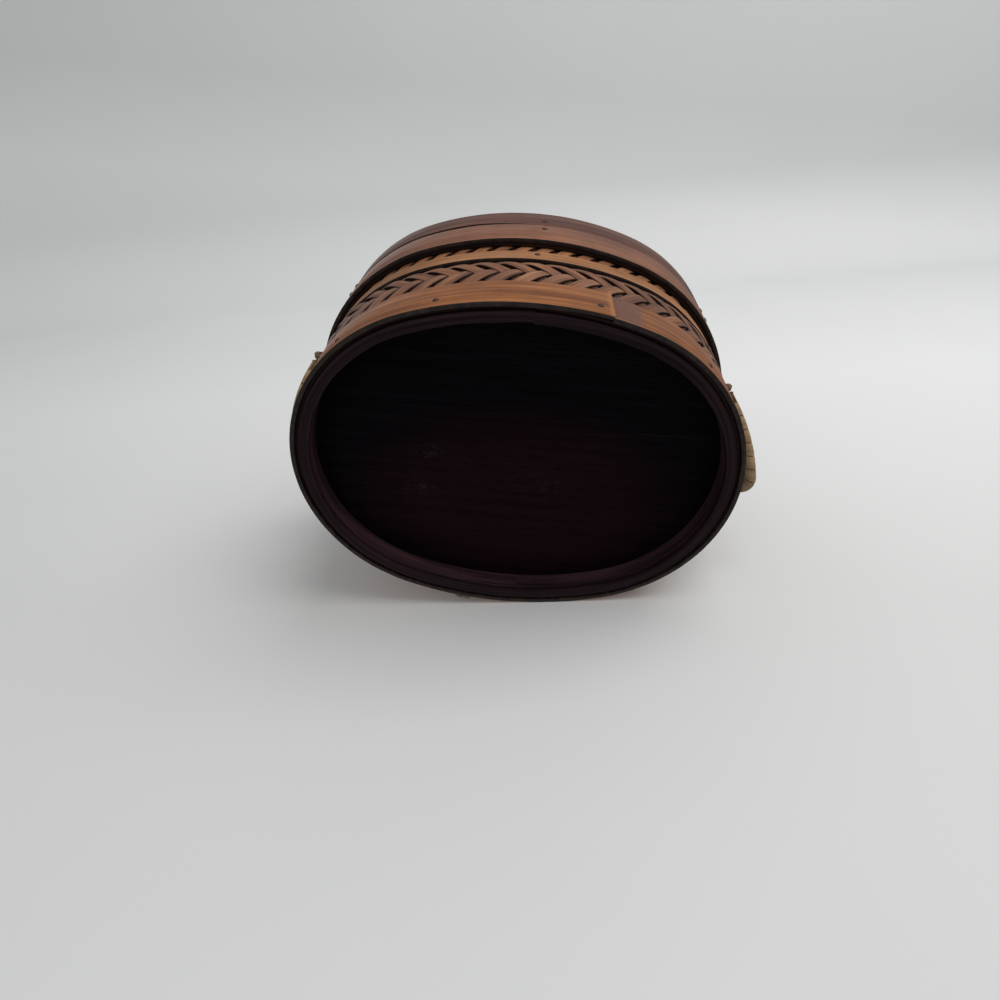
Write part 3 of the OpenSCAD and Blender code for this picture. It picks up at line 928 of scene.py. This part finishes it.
def mat_strip(half, sign, shift):
    """One strip of the mat along X, going over and under at each crossing.

    The shift gives it another stretch of the grain than its neighbours."""
    steps_per_crossing = 5
    fewest_steps = 8
    cuts = max(fewest_steps, round(2 * half / MAT_SPACING * steps_per_crossing))
    select_only()
    bpy.ops.mesh.primitive_grid_add(x_subdivisions=cuts, y_subdivisions=2, size=1)
    strip = bpy.context.object
    for vertex in strip.data.vertices:
        x = vertex.co.x * 2 * half
        crown = MAT_CROWN * (1 - (2 * vertex.co.y) ** 2)
        wave = sign * MAT_WAVE * cos(pi * x / MAT_SPACING)
        vertex.co = (x, vertex.co.y * MAT_STRIP_W, wave + crown)
    layer = strip.data.uv_layers[0]
    layer.name = "grain"
    for loop in strip.data.loops:
        place = strip.data.vertices[loop.vertex_index].co
        layer.data[loop.index].uv = (place.x + shift, place.y + 0.37 * shift)
    return strip


def woven_mat(name, off, level):
    """Flat strips woven over and under, cut to the oval."""
    strips = []
    rows = int(reach_y(0, off) / MAT_SPACING)
    columns = int(reach_x(0, off) / MAT_SPACING)
    for j in range(-rows, rows + 1):
        y = j * MAT_SPACING
        strip = mat_strip(reach_x(y, off), (-1) ** j, 0.31 * j)
        strip.data.transform(Matrix.Translation((0, y, level)))
        strips.append(strip)
    for i in range(-columns, columns + 1):
        x = i * MAT_SPACING
        strip = mat_strip(reach_y(x, off), -(-1) ** i, 0.17 + 0.23 * i)
        strip.data.transform(Matrix.Translation((x, 0, level)) @ Matrix.Rotation(pi / 2, 4, "Z"))
        strips.append(strip)
    mat = join(name, strips)
    apply_modifier(mat, "SOLIDIFY", thickness=MAT_STRIP_T, offset=0)
    settle(mat)
    return mat


def lid():
    hoop("lid_skirt_strip", "lid_skirt", SKIRT_T, HIDDEN_LAP, shade_dark_strip, "dark_bamboo", "lid")
    hoop("lid_lower_strip", "lid_lower_hoop", HOOP_T, LID_LAP, red_strip, "red_bamboo", "lid",
         rise=LAP_RISE, uneven=HOOP_UNEVEN)
    hoop("lid_upper_strip", "lid_upper_hoop", HOOP_T, LID_LAP, grey_strip, "grey_bamboo", "lid",
         rise=LAP_RISE, uneven=HOOP_UNEVEN, gaps=SEAM_GAPS)
    hoop("lid_ledge_strip", "lid_ledge", LEDGE_W, HIDDEN_LAP, shade_dark_strip, "dark_bamboo", "lid")
    hoop("lid_bead_strip", "lid_bead", BEAD_W, HIDDEN_LAP, red_strip, "red_bamboo", "lid",
         edge=BEAD_EDGE)
    low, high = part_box("lid_panel")
    off = out_of("lid_panel")
    backing = oval_sheet("lid_backing", off, low.z, low.z + BACKING_T)
    hand_in(backing, lining, "dark_bamboo", "lid")
    mat = woven_mat("lid_mat", off - MAT_MARGIN, (low.z + high.z) / 2)
    hand_in(mat, woven, "woven_bamboo", "lid", "lid_panel")


# Nails

def nail_heads(name, places):
    """Domed heads on the wall; each place is a direction, a distance out and a height."""
    heads = []
    for direction, off, level in places:
        select_only()
        bpy.ops.mesh.primitive_uv_sphere_add(segments=16, ring_count=10, radius=1)
        head = bpy.context.object
        turn = Matrix.Rotation(direction, 4, "Z") @ Matrix.Rotation(pi / 2, 4, "Y")
        place = wall_point(direction, off) + Vector((0, 0, level))
        flat = Matrix.Diagonal((HEAD_R, HEAD_R, HEAD_H, 1))
        head.data.transform(Matrix.Translation(place) @ turn @ flat)
        heads.append(head)
    made = join(name, heads)
    settle(made)
    return made


def nails():
    for node, directions, body, levels in (("bottom_nails", BOTTOM_NAILS, "box", 1),
                                           ("mid_nails", MID_NAILS, "box", 1),
                                           ("lid_nails", LID_NAILS, "lid", 2)):
        low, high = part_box(node)
        off = 0 if body == "box" else out_of("lid_lower_hoop")
        heights = (low.z + CAD_HEAD_R, high.z - CAD_HEAD_R)[:levels]
        places = []
        for direction in directions:
            in_lap = node == "bottom_nails" and direction == LAP_NAIL
            rise = LAP_NAIL_RISE if in_lap else 0
            places += [(radians(direction), off + rise, height) for height in heights]
        hand_in(nail_heads(node + "_heads", places), iron, "iron", body, node)


# Handles and loop

def cane_rod(name, length, radius):
    """A round straight cane along X."""
    select_only()
    bpy.ops.mesh.primitive_cylinder_add(vertices=20, radius=radius, depth=length)
    rod = bpy.context.object
    rod.name = name
    rod.data.transform(Matrix.Translation((length / 2, 0, 0)) @ Matrix.Rotation(pi / 2, 4, "Y"))
    cut_across(rod, (9, 15))
    lay_grain(rod)
    return rod


def handle_place(swing, side, forward):
    """From a handle's own plane, X along the hinge and Y out, to its place on the box."""
    hinge = Matrix.Translation((HINGE.x, EYE_REAR_Y - forward, HINGE.z))
    there = hinge @ Matrix.Rotation(swing, 4, "Y") @ Matrix.Rotation(-pi / 2, 4, "Z")
    return Matrix.Diagonal((side, 1, 1, 1)) @ there


def handle_runs(rear, front):
    """The runs of a handle that are wrapped, and all its runs from its rear pin to its front pin.

    The grip bows from its slope at the rear to its slope at the front."""
    leg = EYE_REAR_Y - EYE_FRONT_Y - PIN_RUN - BEND_R
    bow = rear - front
    run = leg - PIN_RUN - BEND_R * sin(rear) - CORNER_R * (1 + sin(front))
    radius = run / (sin(rear) - sin(front))
    rise = radius * (cos(front) - cos(rear)) - BEND_R * cos(rear) - CORNER_R * cos(front)
    turn = pi / 2 + front
    wrapped = [(BEND_R * rear, rear), (radius * bow, -bow), (CORNER_R * turn, -turn), (rise, 0)]
    pin = (PIN_TAIL + PIN_RUN, 0)
    return wrapped, [pin, *wrapped, (BEND_R * pi / 2, pi / 2), pin]


def eye_strap(y, side):
    """A strap of cane round a handle's pin, both ends let into the hoop."""
    radius = PIN_R + PIN_GAP + STRAP_T / 2
    inner = reach_x(y, 0) - STRAP_SUNK
    runs = [(HINGE.x - inner, 0), (pi * radius, pi), (HINGE.x - inner, 0)]
    made = straight_strip("strap", run_length(runs), STRAP_T / 2, -STRAP_T / 2, -STRAP_W / 2,
                          STRAP_W / 2, STRAP_EDGE, (5, 7))
    lay_grain(made)
    bend(made, guide((inner, -radius), 0, runs))
    there = Matrix.Translation((0, y, HINGE.z)) @ Matrix.Rotation(pi / 2, 4, "X")
    settle(made, Matrix.Diagonal((side, 1, 1, 1)) @ there)
    return made


def handles():
    section = strip_section(WRAP_W, WRAP_T, WRAP_CROWN, WRAP_EASE)
    for name, slopes, swing, side, forward in (
            ("left", LEFT_SLOPES, LEFT_SWING, 1, LEFT_FORWARD),
            ("right", RIGHT_SLOPES, RIGHT_SWING, -1, RIGHT_FORWARD)):
        wrapped, whole = handle_runs(*slopes)
        body = name + "_handle"
        place = handle_place(swing, side, forward)
        rod = cane_rod(body + "_rod", run_length(whole), PIN_R)
        bend(rod, guide((-PIN_TAIL, 0), 0, whole))
        settle(rod, place)
        hand_in(rod, strap, "pale_cane", body, body + "_core")
        wrap = wound_cane(body + "_cane", run_length(wrapped), WRAP_PITCH, CANE_R + WRAP_LIFT, section)
        bend(wrap, guide((PIN_RUN, 0), 0, wrapped))
        settle(wrap, place)
        hand_in(wrap, grip_cane, "pale_cane", body, body + "_wrap")
        straps = [eye_strap(y - forward, side) for y in (EYE_REAR_Y, EYE_FRONT_Y)]
        hand_in(join(body + "_straps", straps), strap, "strap_cane", "box", body + "_eyes")


def front_loop():
    """The cane loop on the lid's front, in its screw eye."""
    eye_place = (Matrix.Translation(LOOP_HINGE) @ Matrix.Rotation(-LOOP_SWING, 4, "Y")
                 @ Matrix.Rotation(pi / 2, 4, "X"))
    place = eye_place @ Matrix.Rotation(LOOP_LEAN, 4, "X")
    end_r = LOOP_W / 2
    drop = LOOP_HINGE.z - LOOP_HANG - CANE_R - LOOP_WRAP_T
    leg = drop - end_r - LOOP_BEND_R
    half = end_r - LOOP_BEND_R
    quarter = LOOP_BEND_R * pi / 2
    wrapped = [(leg, 0), (pi * end_r, pi), (leg, 0)]
    whole = [(half, 0), (quarter, pi / 2), *wrapped, (quarter, pi / 2), (half, 0)]
    rod = cane_rod("loop_rod", run_length(whole), CANE_R)
    bend(rod, guide((0, 0), pi, whole, closed=True))
    settle(rod, place)
    hand_in(rod, loop_cane, "pale_cane", "loop", "loop_core")
    section = strip_section(LOOP_STRIP_W, LOOP_STRIP_T, LOOP_CROWN, LOOP_EASE)
    wrap = wound_cane("loop_cane", run_length(wrapped), LOOP_PITCH, CANE_R + LOOP_LIFT, section)
    bend(wrap, guide((-end_r, -LOOP_BEND_R), -pi / 2, wrapped))
    settle(wrap, place)
    hand_in(wrap, loop_cane, "pale_cane", "loop", "loop_wrap")
    select_only()
    bpy.ops.mesh.primitive_torus_add(major_radius=SCREW_RING_R, minor_radius=SCREW_WIRE_R,
                                     major_segments=32, minor_segments=12)
    ring = bpy.context.object
    settle(ring, eye_place @ Matrix.Rotation(pi / 2, 4, "Y"))
    select_only()
    bpy.ops.mesh.primitive_cylinder_add(vertices=16, radius=SHANK_R, depth=1)
    shank = bpy.context.object
    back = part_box("loop_eye")[1].y
    front = LOOP_HINGE.y + SHANK_BACK
    middle = Vector((LOOP_HINGE.x, (front + back) / 2, LOOP_HINGE.z))
    settle(shank, Matrix.Translation(middle) @ Matrix.Rotation(pi / 2, 4, "X")
           @ Matrix.Diagonal((1, 1, back - front, 1)))
    hand_in(join("loop_screw_eye", [ring, shank]), iron, "iron", "loop_swivel", "loop_eye")


# Camera, light and stage

CAMERA_PLACE = (0.5 * MM, 168.37 * MM, -229.63 * MM)
CAMERA_ACROSS = Vector((-0.99686, 0.04983, 0.06155))
CAMERA_DOWN = Vector((-0.07725, -0.78298, -0.61724))
CAMERA_AHEAD = Vector((0.01744, -0.62005, 0.78437))
LIGHTS_LOOK_AT = Vector((0, 0, 0.05))

# The lying box's floor in m: its slant, its gap under the screw eye, its size, and its backdrop
FLOOR_TILT = radians(6.3)
FLOOR_ROLL = radians(-8.5)
FLOOR_GAP = 0.45 * MM
FLOOR_WIDE = 5
FLOOR_DEEP = 3
BACKDROP_AT = 0.66
BACKDROP_HIGH = 2
SWEEP = 0.12
NEAR_CORNER = 0.01


def area_light(name, place, size, power):
    """A soft square light that looks at the middle of the box."""
    data = bpy.data.lights.new(name, "AREA")
    data.size = size
    data.energy = power
    light = placed(name, data)
    light.location = place
    light.rotation_euler = (LIGHTS_LOOK_AT - Vector(place)).to_track_quat("-Z", "Y").to_euler()


def seen_from_front(name, colour):
    """Pale paper that only the view from its front side meets, with painted light and shade: dimmer
    close by and high up.
    """
    material, tree, shader = new_material(name)
    place = object_coords(tree)
    speck = noise(tree, place, scale=9.0, detail=3, rough=0.5)
    tone = ramp(tree, speck, (0.3, scaled(colour, 0.985)), (0.7, colour))
    _, up, away = apart(tree, place)
    # Painted light and shade on the paper: brighter far back, dimmer high up the backdrop
    far = fade(tree, away, 0.0, 0.3, 0.83, 1.0)
    high = fade(tree, up, -0.05, 0.07, 1.0, 0.84)
    tone = mix(tree, 1.0, tone, calc(tree, "MULTIPLY", far, high), "MULTIPLY")
    tree.links.new(tone, shader.inputs["Base Color"])
    shader.inputs["Roughness"].default_value = 0.8
    shader.inputs["Specular IOR Level"].default_value = 0.15
    path = add(tree, "ShaderNodeLightPath")
    side = add(tree, "ShaderNodeNewGeometry")
    front = add(tree, "ShaderNodeMath",
                {0: path.outputs["Is Camera Ray"], 1: side.outputs["Backfacing"]},
                operation="SUBTRACT", use_clamp=True)
    clear = add(tree, "ShaderNodeBsdfTransparent")
    blend = add(tree, "ShaderNodeMixShader",
                {0: front.outputs[0], 1: clear.outputs[0], 2: shader.outputs[0]})
    tree.links.new(blend.outputs[0], tree.nodes["Material Output"].inputs["Surface"])
    return material


def floor():
    """Pale floor under the lying box, swept up into a backdrop behind it."""
    select_only()
    bpy.ops.mesh.primitive_plane_add(size=1)
    sheet = bpy.context.object
    sheet.name = "floor"
    sheet.data.transform(Matrix.Translation((0, 0, BACKDROP_AT - FLOOR_DEEP / 2))
                         @ Matrix.Rotation(-pi / 2, 4, "X")
                         @ Matrix.Diagonal((FLOOR_WIDE, FLOOR_DEEP, 1, 1)))
    edit_edges(sheet, lambda a, b: min(a.z, b.z) > BACKDROP_AT - NEAR_CORNER)
    bpy.ops.mesh.extrude_region_move(TRANSFORM_OT_translate={"value": (0, BACKDROP_HIGH, 0)})
    edit_edges(sheet, lambda a, b: max(abs(a.z - BACKDROP_AT), abs(b.z - BACKDROP_AT), abs(a.y),
                                       abs(b.y)) < NEAR_CORNER)
    bpy.ops.mesh.bevel(offset=SWEEP, segments=12, affect="EDGES")
    leave_edit()
    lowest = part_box("loop_eye")[0].y - FLOOR_GAP
    sheet.data.transform(Matrix.Translation((0, lowest, LOOP_HINGE.z))
                         @ Matrix.Rotation(FLOOR_ROLL, 4, "Z") @ Matrix.Rotation(FLOOR_TILT, 4, "X"))
    bpy.ops.object.shade_smooth()
    sheet.data.materials.append(seen_from_front("floor_paper", (0.845, 0.845, 0.82)))


def camera_and_stage():
    """The camera of the photograph: the box lies on its front and shows its foot."""
    scene = bpy.context.scene
    lens = bpy.data.cameras.new("camera")
    lens.sensor_width = 36
    lens.lens = 23.04
    camera = placed("camera", lens)
    turn = Matrix((CAMERA_ACROSS, -CAMERA_DOWN, -CAMERA_AHEAD)).transposed().to_4x4()
    camera.matrix_world = Matrix.Translation(CAMERA_PLACE) @ turn
    scene.camera = camera
    scene.view_settings.view_transform = "Standard"
    world = bpy.data.worlds.new("studio")
    scene.world = world
    world.use_nodes = True
    sky = world.node_tree.nodes["Background"]
    sky.inputs["Color"].default_value = (0.93, 0.96, 1.0, 1)
    sky.inputs["Strength"].default_value = 0.45
    area_light("overhead", (-0.35, 1.05, 0.05), size=0.9, power=8.8)
    area_light("foot_side", (0.5, 0.6, -0.9), size=0.8, power=1.0)
    area_light("lid_side", (0.25, -0.4, 1.0), size=0.8, power=3.0)
    floor()


box_body()
box_plaits()
lid()
nails()
handles()
front_loop()
camera_and_stage()
